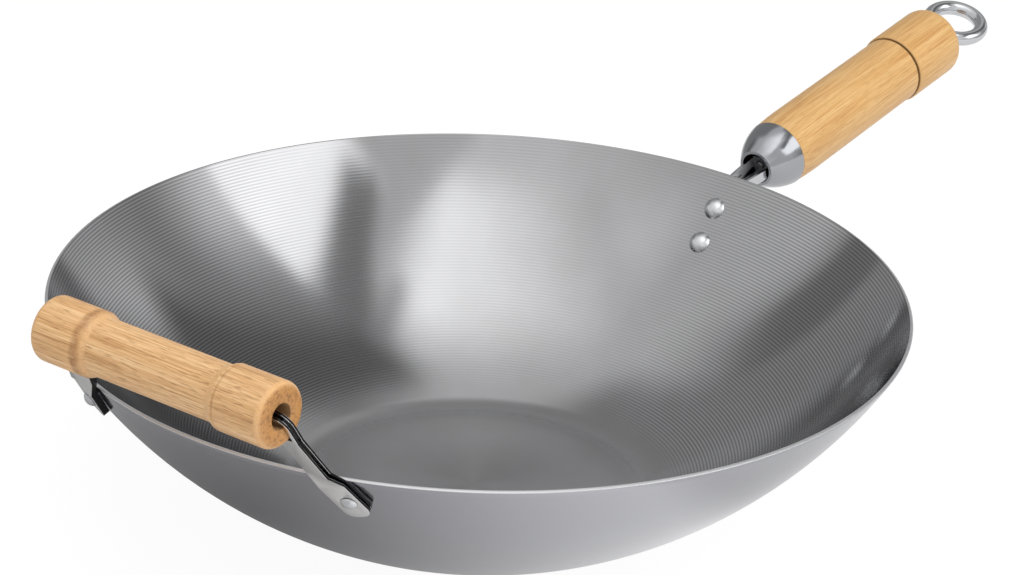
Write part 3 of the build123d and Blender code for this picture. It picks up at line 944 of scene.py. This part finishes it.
@dataclass
class LongHandle:
    """Tang, ferrule, turned grip and hanging loop on one axis, which starts at the wall.

    Distances run along the axis, and radii are the outer ones. A hole, the shank and a point of
    the neck are each a radius and a length. lip_height is the height over the axis above which
    the inside of the tang's channel is painted lit instead of in shade, and tones are the colours
    of the wood, dark to pale.
    """

    bowl: Bowl
    rivet_drops: Point = (13.9, 27.1)
    tang_sheet: float = 1.3
    seat_gap: float = 0.15
    mouth: float = 21.1
    grip_front: float = 36.9
    grip_end: float = 168.1
    tang_end: float = 29.1
    ferrule_radius: float = 15.4
    ferrule_front: float = 8.4
    dome_radius: float = 34.0
    ferrule_sheet: float = 1.0
    lip_height: float = -3.0
    front_radius: float = 15.2
    swell_radius: float = 15.8
    swell_length: float = 13.5
    waist_radius: float = 15.5
    cap_radius: float = 16.4
    cap_length: float = 36.9
    groove_width: float = 1.0
    groove_depth: float = 0.6
    end_round: float = 6.5
    rod_hole: float = 2.5
    shank_hole: Point = (5.1, 12.15)
    loop_reach: float = 17.5
    loop_radius: float = 12.3
    loop_wire: float = 3.35
    loop_turn: float = 14.0
    shank: Point = (4.8, 12.0)
    collar: float = 6.2
    neck: tuple[Point, ...] = ((4.9, 1.35), (4.4, 1.6), (4.2, 2.2))
    # The first band is the burnt groove; the second is painted shade on the wood's nose inside the
    # ferrule
    dark_bands: tuple[DarkBand, ...] = (DarkBand(130.75, 0.75, 0.92), DarkBand(28.0, 9.0, 0.97))
    tones: tuple[str, str, str] = ("#C69153", "#D8AA6C", "#E3BC82")
    dome_centre: Point = field(init=False)

    def __post_init__(self) -> None:
        """Work out the centre of the ferrule's dome."""
        self.dome_centre = circle_crossing(
            (self.ferrule_front, self.mouth), self.dome_radius,
            (self.ferrule_radius, self.grip_front), self.dome_radius)

    def dome(self, inset: float, front: float, back: float, count: int) -> Outline:
        """Draw part of the dome, set in from its outside.

        Args:
            inset: Distance inside the dome's outer face.
            front: Distance along the axis at which it starts.
            back: Distance along the axis at which it ends.
            count: Number of steps.

        Returns:
            The points.
        """
        ball = self.dome_radius - inset
        first, last = (math.degrees(math.asin((distance - self.dome_centre[1]) / ball))
                       for distance in (front, back))
        return arc_points(self.dome_centre, ball, first, last, count)

    def build_tang(self, metal: Material) -> Piece:
        """Dress the pressed tang, with its edges broken.

        Args:
            metal: Its finish.

        Returns:
            The tang.
        """
        tang = dress(copy_of_node("handle_tang", "handle_tang", 0.18), metal, "plated_steel",
                     "wok", "handle_tang")
        # Painted shade deep in the tang's channel, with the inner faces painted lit above the lip
        up = HANDLE_AXIS.across
        lip = HANDLE_AXIS.origin.dot(up) + self.lip_height
        paint_fold_shade(tang, FoldShade(lip, tuple(up)).build(), reach=14.0, share=0.5)
        return tang

    def build_rivets(self, metal: Material) -> Piece:
        """Model the two rivets, head inside the bowl.

        Args:
            metal: Their finish.

        Returns:
            Both rivets as one piece.
        """
        length = self.bowl.sheet + self.tang_sheet + 3 * self.seat_gap
        rivet = Rivet(length, 2.5, (4.9, 2.6), (3.4, 1.6))
        out = -self.bowl.sheet - self.seat_gap
        pair = [rivet.build(f"handle_rivet_{number}", self.bowl.wall_axis(drop, 0, out))
                for number, drop in enumerate(self.rivet_drops)]
        return dress(join_pieces(pair, "handle_rivets"), metal, "rivet_steel", "wok",
                     "handle_rivets")

    def build_ferrule(self, metal: Material) -> Piece:
        """Model the spun cup.

        Args:
            metal: Its finish.

        Returns:
            The ferrule.
        """
        outline = [*self.dome(0, self.mouth, self.grip_front, 24),
                   *self.dome(self.ferrule_sheet, self.grip_front, self.mouth, 24)]
        ferrule = dress(turn_piece("ferrule_cup", outline, HANDLE_AXIS, 96, closed=True), metal,
                        "plated_steel", "wok", "ferrule")
        # Painted shade on the inside of the cup
        paint_fold_shade(ferrule, FoldShade().build(), reach=40.0, share=0.8)
        return ferrule

    def build_grip(self, wood: Material) -> Piece:
        """Turn the grip with its raised end part and burnt groove.

        Args:
            wood: Its finish.

        Returns:
            The grip.
        """
        front = self.grip_front + self.seat_gap
        inner_front = self.tang_end + self.seat_gap
        cap_front = self.grip_end - self.cap_length
        groove_front = cap_front - self.groove_width
        groove_floor = self.waist_radius - self.groove_depth
        shank_hole, shank_depth = self.shank_hole
        shank_floor = self.grip_end - shank_depth
        lead = [(self.front_radius + (self.swell_radius - self.front_radius) * share
                 + 0.4 * share * (1 - share), front + 0.5 + self.swell_length * share)
                for share in (0, 0.2, 0.4, 0.6, 0.8, 1)]
        outline = [
            (self.rod_hole, inner_front),
            *self.dome(self.ferrule_sheet + 0.25, inner_front, front, 10),
            (self.front_radius - 0.5, front), *lead,
            (self.waist_radius, groove_front - 0.15), (self.waist_radius - 0.15, groove_front),
            (groove_floor, groove_front + 0.1), (groove_floor, cap_front),
            (self.cap_radius - 0.7, cap_front), (self.cap_radius - 0.2, cap_front + 0.4),
            (self.cap_radius, cap_front + 1.0),
            *arc_points((self.cap_radius - self.end_round, self.grip_end - self.end_round),
                        self.end_round, 0, 90, 12),
            (shank_hole, self.grip_end), (shank_hole, shank_floor), (self.rod_hole, shank_floor)]
        grip = turn_piece("long_grip_turned", outline, HANDLE_AXIS, 112, closed=True)
        return dress(grip, wood, "beech", "wok", "long_grip")

    def build_loop(self, chrome: Material) -> Piece:
        """Cast the eye with its collar and shank.

        Args:
            chrome: Its finish.

        Returns:
            The hanging loop.
        """
        seat = self.grip_end + self.seat_gap
        centre = self.grip_end + self.loop_reach
        shank, depth = self.shank
        shank_end = self.grip_end - depth
        stem = turn_piece("loop_stem", [
            (0, shank_end), (shank - 0.2, shank_end), (shank, shank_end + 0.2), (shank, seat),
            (self.collar, seat), *arc_points((self.collar - 0.2, seat + 0.7), 0.5, -40, 90, 5),
            *((radius, seat + height) for radius, height in self.neck),
            (self.neck[-1][0], centre - self.loop_radius - 0.5),
            (0, centre - self.loop_radius - 0.4)], HANDLE_AXIS, 48)
        turn = math.radians(self.loop_turn)
        side = Vector((0, 1, 0))
        normal = (HANDLE_AXIS.across * math.cos(turn) - side * math.sin(turn)).normalized()
        ring_axis = TurningAxis(HANDLE_AXIS.place(0, centre) / MM, normal, HANDLE_AXIS.along)
        ring = turn_piece("hanging_eye", arc_points((self.loop_radius, 0), self.loop_wire, 0,
                                                    345, 23), ring_axis, 96, closed=True)
        union = ring.modifiers.new("Cast as one", "BOOLEAN")
        union.operation = "UNION"
        union.solver = "EXACT"
        union.object = stem
        bpy.ops.object.modifier_apply(modifier=union.name)
        bpy.data.objects.remove(stem)
        bpy.ops.object.shade_smooth_by_angle(angle=math.radians(45))
        return dress(ring, chrome, "plated_steel", "wok", "hanging_loop")

    def build(self) -> list[Piece]:
        """Model and dress the whole long handle.

        Returns:
            Its pieces.
        """
        plate = BrightMetal("Zinc plated pressing", "#C9CACD", 0.18).build()
        zinc = BrightMetal("Zinc plated spun cup", "#A9ABAF", 0.14, 6.0, 0.09).build()
        rivet = BrightMetal("Bright rivet steel", "#E2E3E5", 0.27, 2.5, 0.012).build()
        chrome = BrightMetal("Chrome plated casting", "#CFD0D3", 0.07, 6.0, 0.05).build()
        # The rod and nut lie deep in the ferrule's mouth, so their steel is painted dark as shade
        screw = BrightMetal("Screw steel painted dark as shade", "#636365", 0.35, 1.0).build()
        # The ferrule hides the front end, so only the other one gets end grain
        wood = TurnedBeech(
            "Turned beech long grip", HANDLE_AXIS.place(0, 0), Euler((0, -HANDLE_RISE, 0)),
            (-400.0, self.grip_end), bore=2.8, dark_bands=self.dark_bands, tones=self.tones,
            pores=0.35).build()
        # Painted shade: the rod and nut get the darkened steel
        for node in ("tie_rod", "tang_nut"):
            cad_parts[node].data.materials[0] = screw
        return [self.build_tang(plate), self.build_rivets(rivet), self.build_ferrule(zinc),
                self.build_grip(wood), self.build_loop(chrome)]


@dataclass
class HelperHandle:
    """Folded bracket with its turning grip and rivets.

    The raised ends are bosses with a sloping bevel, and a line is scribed near each slope. spread
    is the direction of each rivet from the handle's middle, in degrees round the bowl, and
    plane_angle the lean of the bracket's arms. tones are the colours of the wood, dark to pale.
    """

    bowl: Bowl
    centre: Place = (-191.0, 0, 120.8)
    half_length: float = 57.8
    boss_radius: float = 13.28
    boss_length: float = 24.0
    bevel_length: float = 3.6
    waist_radius: float = 11.5
    end_round: float = 3.0
    line_inset: float = 0.8
    line_width: float = 0.9
    line_depth: float = 0.12
    bore_radius: float = 5.0
    pad_depth: float = 3.0
    seat_gap: float = 0.15
    spread: float = 22.3
    plane_angle: float = 56.5
    rivet_drop: float = 9.3
    dark_bands: tuple[DarkBand, ...] = (DarkBand(34.6, 2.8, 0.75, 0.55, "#96602F"),
                                    DarkBand(-35.05, 0.8, 0.5, 0.6, "#96602F"))
    tones: tuple[str, str, str] = ("#C5935D", "#E3B37C", "#F3CC9A")

    def build_grip(self, wood: Material) -> Piece:
        """Turn the roller with its scribed lines and through bore.

        Args:
            wood: Its finish.

        Returns:
            The roller.
        """
        boss = self.half_length - self.boss_length
        slope = boss - self.bevel_length
        line = boss + self.line_inset
        half = [
            (self.waist_radius, 0), (self.waist_radius, slope - 0.5),
            (self.waist_radius + 0.1, slope + 0.2),
            (self.boss_radius - 0.15, boss - 0.3), (self.boss_radius, boss + 0.2),
            (self.boss_radius, line),
            (self.boss_radius - self.line_depth, line + self.line_width / 2),
            (self.boss_radius, line + self.line_width),
            *arc_points((self.boss_radius - self.end_round, self.half_length - self.end_round),
                        self.end_round, 0, 90, 9),
            (self.bore_radius + 0.6, self.half_length),
            (self.bore_radius + 0.2, self.half_length - 0.2),
            (self.bore_radius, self.half_length - 0.6)]
        other = [(radius, -distance) for radius, distance in reversed(half[1:])]
        axis = TurningAxis(Vector(self.centre), Vector((0, 1, 0)), UP)
        grip = turn_piece("helper_grip_turned", other + half, axis, 96, closed=True)
        return dress(grip, wood, "beech", "roller", "helper_grip")

    def build_bracket(self, metal: Material) -> Piece:
        """Dress the folded bracket, with its edges broken.

        Args:
            metal: Its finish.

        Returns:
            The bracket.
        """
        bracket = dress(copy_of_node("helper_bracket", "folded_bracket", 0.2), metal,
                        "plated_steel", "wok", "helper_bracket")
        # Painted shade deep in the fold and on the cut edges of the strip
        lean = math.radians(self.plane_angle)
        paint_fold_shade(bracket, FoldShade().build(), reach=5.0, share=0.45,
                  flat=Vector((math.sin(lean), 0, math.cos(lean))))
        return bracket

    def build_rivets(self, metal: Material) -> Piece:
        """Model one rivet through each pad.

        Args:
            metal: Their finish.

        Returns:
            Both rivets as one piece.
        """
        length = self.bowl.sheet + self.pad_depth + 3 * self.seat_gap
        rivet = Rivet(length, 2.2, (4.0, 1.9), (3.4, 1.9))
        out = -self.bowl.sheet - self.seat_gap
        pair = [rivet.build(f"helper_rivet_{number}", self.bowl.wall_axis(
            self.rivet_drop, 180 - side * self.spread, out))
            for number, side in enumerate((-1, 1))]
        return dress(join_pieces(pair, "helper_rivets"), metal, "rivet_steel", "wok",
                     "helper_rivets")

    def build(self) -> list[Piece]:
        """Model and dress the helper handle.

        Returns:
            Its pieces.
        """
        plate = BrightMetal("Bright nickel plated strip", "#EDECEB", 0.2).build()
        rivet = BrightMetal("Bright helper rivet", "#D6D7DA", 0.22, 2.0).build()
        wood = TurnedBeech(
            "Turned beech roller", Vector(self.centre) * MM, Euler((0, 0, math.pi / 2)),
            (-self.half_length, self.half_length), bore=self.bore_radius, dark_bands=self.dark_bands,
            tones=self.tones, pores=0.7).build()
        return [self.build_bracket(plate), self.build_grip(wood), self.build_rivets(rivet)]


# Studio

BOWL_MIDDLE = Vector((0, 0, 0.08))


class RayKind(Enum):
    """Rays that the surroundings answer in their own way."""

    CAMERA = "Is Camera Ray"
    GLOSSY = "Is Glossy Ray"
    TRANSMISSION = "Is Transmission Ray"


def any_ray(add: AddNode, *kinds: RayKind) -> Node:
    """Add nodes that give 1 for rays of some kinds.

    Args:
        add: Adds a node to the tree.
        *kinds: Kinds of ray.

    Returns:
        The node that gives the answer.
    """
    rays = add("LightPath")
    found = add("Math ADD", {1: 0.0, 0: rays.outputs[kinds[0].value]})
    for kind in kinds[1:]:
        found = add("Math MAXIMUM", {0: found, 1: rays.outputs[kind.value]})
    return found


def studio_way(azimuth: float, elevation: float) -> Vector:
    """Direction to a place of the studio.

    Args:
        azimuth: Direction in degrees, from +X towards +Y.
        elevation: Height above level in degrees.

    Returns:
        The direction.
    """
    turn, lift = math.radians(azimuth), math.radians(elevation)
    return Vector((math.cos(turn) * math.cos(lift), math.sin(turn) * math.cos(lift),
                   math.sin(lift)))


@dataclass(frozen=True)
class Panel:
    """Soft-edged panel of the studio, as the metal mirrors it.

    Attributes:
        azimuth: Direction of its centre in degrees, from +X towards +Y.
        elevation: Height of its centre above level in degrees.
        spin: Turn about its own centre in degrees.
        half: Half of its width and of its height, as shares of its distance.
        edge: Width of its soft edges at its sides and at its top, as shares of its distance.
        level: Brightness, where 1 is white.
        shift: Shift of the panel in its own plane, as shares of its distance.
        fall: Change of its brightness along its width and its height.
    """

    azimuth: float
    elevation: float
    spin: float
    half: Point
    edge: Point
    level: float
    shift: Point = (0.0, 0.0)
    fall: Point = (0.0, 0.0)

    def turning(self) -> Euler:
        """Work out the panel's own axes.

        Returns:
            Rotation that takes a direction into them.
        """
        turn, spin = math.radians(self.azimuth), math.radians(self.spin)
        away = studio_way(self.azimuth, self.elevation)
        side = Vector((-math.sin(turn), math.cos(turn), 0))
        top = away.cross(side)
        wide = side * math.cos(spin) + top * math.sin(spin)
        high = top * math.cos(spin) - side * math.sin(spin)
        return Matrix((wide, high, away)).to_euler()

    def paint(self, add: AddNode, toward: Socket, light: Node) -> Node:
        """Lay the panel over the light behind it.

        Args:
            add: Adds a node to the surroundings' tree.
            toward: Direction that is looked at.
            light: Brightness behind the panel.

        Returns:
            The brightness with the panel.
        """
        own = add("Mapping", {"Rotation": self.turning(), "Vector": toward})
        depth = add("SeparateXYZ", {0: own}).outputs["Z"]
        depth = add("Math MAXIMUM", {1: 0.05, 0: depth})
        nearer = add("Math DIVIDE", {0: 1.0, 1: depth})
        flat = add("VectorMath SCALE", {0: own, "Scale": nearer})
        centred = add("VectorMath SUBTRACT", {1: (*self.shift, 0), 0: flat})
        away = add("VectorMath ABSOLUTE", {0: centred})
        # Inputs 6 to 8 are the vector, where the panel ends and where it is full. The third
        # part is 1 in front of the panel's plane and large behind it
        outer, inner = ((self.half[0] + sign * self.edge[0] / 2,
                         self.half[1] + sign * self.edge[1] / 2) for sign in (1, -1))
        inside = add("MapRange", {**SMOOTH, "data_type": "FLOAT_VECTOR", 6: away,
                                  7: (*outer, 1.6), 8: (*inner, 1.1)})
        parts = add("SeparateXYZ", {0: inside})
        share = add("Math MULTIPLY", {0: parts, 1: parts.outputs["Y"]})
        share = add("Math MULTIPLY", {0: share, 1: parts.outputs["Z"]})
        slope = add("VectorMath DOT_PRODUCT", {1: (*self.fall, 0), 0: centred})
        shade = add("Math ADD", {1: self.level, 0: slope})
        return add("Mix", {0: share, 2: light, 3: shade})


@dataclass(frozen=True)
class SoftLamp:
    """Large soft lamp for everything but mirror images.

    Attributes:
        centre: Centre of the lamp in metres.
        size: Width and height in metres.
        level: Brightness of its face, where 1 is white.
        spin: Turn about its own normal in degrees.
        overhead: Whether it lies level overhead instead of facing the bowl.
    """

    centre: Place
    size: Point
    level: float
    spin: float = 0.0
    overhead: bool = False

    def build(self, number: int) -> None:
        """Put the lamp up.

        Args:
            number: Number of the lamp.
        """
        lamp = bpy.data.lights.new(f"soft_lamp_{number}", "AREA")
        lamp.shape = "RECTANGLE"
        lamp.size, lamp.size_y = self.size
        lamp.energy = 4 * self.level * self.size[0] * self.size[1]
        holder = bpy.data.objects.new(lamp.name, lamp)
        holder.visible_glossy = False
        bpy.context.collection.objects.link(holder)
        centre = Vector(self.centre)
        facing = Matrix.Identity(4)
        if not self.overhead:
            facing = (centre - BOWL_MIDDLE).to_track_quat("Z", "Y").to_matrix().to_4x4()
        holder.matrix_world = (Matrix.Translation(centre) @ facing
                               @ Matrix.Rotation(math.radians(self.spin), 4, "Z"))


@dataclass
class Studio:
    """Pale floor, white surroundings, soft lamps and the camera.

    The floor's own light, as metal mirrors it, rises across it between the two floor_light levels
    and falls to floor_beyond past the lit part, at distances in metres. The mirrored room is
    dimmed towards dim_side. The camera's axes point to its right, up and ahead. Of two panels that
    overlap, the later one is nearer.
    """

    ambient: float = 0.42
    floor_white: float = 0.9
    floor_mirrored: float = 0.5
    floor_light: Point = (0.15, 1.42)
    floor_across: Place = (0.616, -0.788, 0)
    floor_rise: Point = (-0.12, 0.12)
    floor_beyond: float = 0.65
    beyond_from: Point = (0.09, 0.135)
    room: float = 0.744
    room_rise: float = -0.045
    dim_side: float = 375.1
    dim_level: float = 0.5
    dim_from: float = 0.04
    dim_reach: float = 0.346
    focal: float = 4000.0
    picture: int = 1021
    camera_place: Place = (-1187.44, -913.99, 762.19)
    camera_axes: tuple[Place, Place, Place] = (
        (0.61614, -0.78676, 0.03719), (0.30056, 0.2785, 0.91219), (0.72804, 0.55086, -0.40807))
    lamps: tuple[SoftLamp, ...] = (
        SoftLamp(tuple(BOWL_MIDDLE + 2.6 * studio_way(280, 36)), (2.0, 1.25), 3.4),
        SoftLamp((-1.03, 0.20, 2.28), (2.9, 2.4), 0.85, 29, True),
        SoftLamp((-0.80, -0.42, 2.25), (2.6, 0.8), 1.05, 29, True),
    )
    panels: tuple[Panel, ...] = (
        Panel(44.6, 62.3, -33.5, (0.626, 0.772), (0.481, 0.481), 0.80),
        Panel(201.9, 45.0, -35.0, (0.855, 0.284), (0.5, 0.5), 0.99),
        Panel(300.1, 31.1, 33.1, (0.19, 0.23), (0.5, 0.5), 1.40),
        Panel(8.1, 20.8, -34.9, (0.452, 0.302), (0.48, 0.48), 0.83),
        Panel(37.5, 30.3, 16.1, (0.847, 0.654), (0.312, 0.312), 0.34),
        Panel(93.0, 18.0, 0.0, (0.12, 0.27), (0.08, 0.2), 0.24),
        Panel(12.0, 40.0, 0.0, (0.19, 0.24), (0.2, 0.2), 0.54),
        Panel(345.5, 49.0, 10.0, (0.175, 0.475), (0.2, 0.2), 0.16),
        Panel(31.9, 90.0, 0.0, (0.431, 0.446), (0.303, 0.4), 1.43, (0.100, 0.406),
              (-1.33, -0.17)),
        Panel(299.2, 71.5, -1.3, (0.167, 0.030), (0.104, 0.104), 0.39),
        Panel(258.7, 47.7, 22.2, (0.558, 0.195), (0.028, 0.028), 0.77),
        Panel(281.2, 37.8, 8.6, (0.319, 0.295), (0.064, 0.064), 1.98),
        Panel(279.7, 56.9, 35.2, (0.353, 0.090), (0.089, 0.089), 0.30),
    )

    def build_floor(self) -> None:
        """Lay the pale floor, which shows white and keeps the wok's soft shadow."""
        pick()
        bpy.ops.mesh.primitive_plane_add(size=12)
        floor = bpy.context.object
        floor.name = "pale_floor"
        material, add = new_material("Pale floor")
        share = add("Math MULTIPLY", {1: self.floor_mirrored,
                             0: any_ray(add, RayKind.GLOSSY, RayKind.TRANSMISSION)})
        share = add("Math MULTIPLY_ADD", {1: self.floor_white,
                             0: any_ray(add, RayKind.CAMERA), 2: share})
        paint = add("BsdfDiffuse", {"Color": grey(0.9)})
        # The floor is brightest under the large lamp, towards the right of the picture
        across = add("VectorMath DOT_PRODUCT", {1: self.floor_across,
                                    0: add("TexCoord").outputs["Object"]})
        level = add("MapRange", {**SMOOTH, RANGE: (*self.floor_rise, *self.floor_light),
                                 "Value": across})
        beyond = add("MapRange", {**SMOOTH, RANGE: (*self.beyond_from, 1.0, self.floor_beyond),
                                  "Value": across})
        level = add("Math MULTIPLY", {0: level, 1: beyond})
        level = add("Mix", {3: 1.05, 0: any_ray(add, RayKind.CAMERA),
                            2: level})
        white = add("Emission", {"Color": grey(1.0), "Strength": level})
        mixed = add("MixShader", {0: share, 1: paint, 2: white})
        add("OutputMaterial", {"Surface": mixed})
        floor.data.materials.append(material)

    def build_world(self) -> None:
        """Make white surroundings for the camera, panels for the metal, even light for the rest."""
        world = bpy.data.worlds.new("White studio")
        bpy.context.scene.world = world
        world.use_nodes = True
        world.node_tree.nodes.clear()
        add = partial(add_node, world.node_tree)
        toward = add("TexCoord").outputs["Generated"]
        axes = add("SeparateXYZ", {0: toward})
        level = add("CombineXYZ", {"X": axes.outputs["X"], "Y": axes.outputs["Y"]})
        level = add("VectorMath NORMALIZE", {0: level})
        side = math.radians(self.dim_side)
        facing = add("VectorMath DOT_PRODUCT", {0: level,
                                    1: (math.cos(side), math.sin(side), 0)})
        half = self.dim_reach / 2
        dimmed = add("MapRange", {**SMOOTH, "Value": facing, RANGE: (
            self.dim_from - half, self.dim_from + half, 1.0, self.dim_level)})
        rising = add("Math MULTIPLY_ADD", {1: self.room * self.room_rise,
                              2: self.room, 0: axes.outputs["Z"]})
        light = add("Math MULTIPLY", {0: rising, 1: dimmed})
        for panel in self.panels:
            light = panel.paint(add, toward, light)
        light = add("Mix", {2: self.ambient, 3: light,
                            0: any_ray(add, RayKind.GLOSSY, RayKind.TRANSMISSION)})
        strength = add("Mix", {3: 1.0, 2: light,
                               0: any_ray(add, RayKind.CAMERA)})
        glow = add("Background", {"Color": grey(1.0), "Strength": strength})
        add("OutputWorld", {"Surface": glow})

    def build_camera(self) -> None:
        """Set up the camera at the photograph's place and angle."""
        data = bpy.data.cameras.new("Camera")
        data.sensor_width = 36
        data.lens = self.focal * data.sensor_width / self.picture
        data.clip_end = 50
        camera = bpy.data.objects.new("Camera", data)
        bpy.context.collection.objects.link(camera)
        right, up, ahead = map(Vector, self.camera_axes)
        turn = Matrix((right, up, -ahead)).transposed()
        camera.matrix_world = Matrix.Translation(Vector(self.camera_place) * MM) @ turn.to_4x4()
        bpy.context.scene.camera = camera

    def build(self) -> None:
        """Put up the studio."""
        self.build_floor()
        self.build_world()
        for number, lamp in enumerate(self.lamps):
            lamp.build(number)
        self.build_camera()
        bpy.context.scene.view_settings.view_transform = "Standard"


def main() -> None:
    """Build every sub-assembly and the studio."""
    logging.basicConfig(level=logging.INFO, format="%(name)s: %(message)s")
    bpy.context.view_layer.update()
    bowl = Bowl()
    for assembly in (bowl, LongHandle(bowl), HelperHandle(bowl)):
        for piece in assembly.build():
            LOG.info("%s: %d faces", piece.name, len(piece.data.polygons))
    Studio().build()
    LOG.info("size note written")


if __name__ == "__main__":
    main()
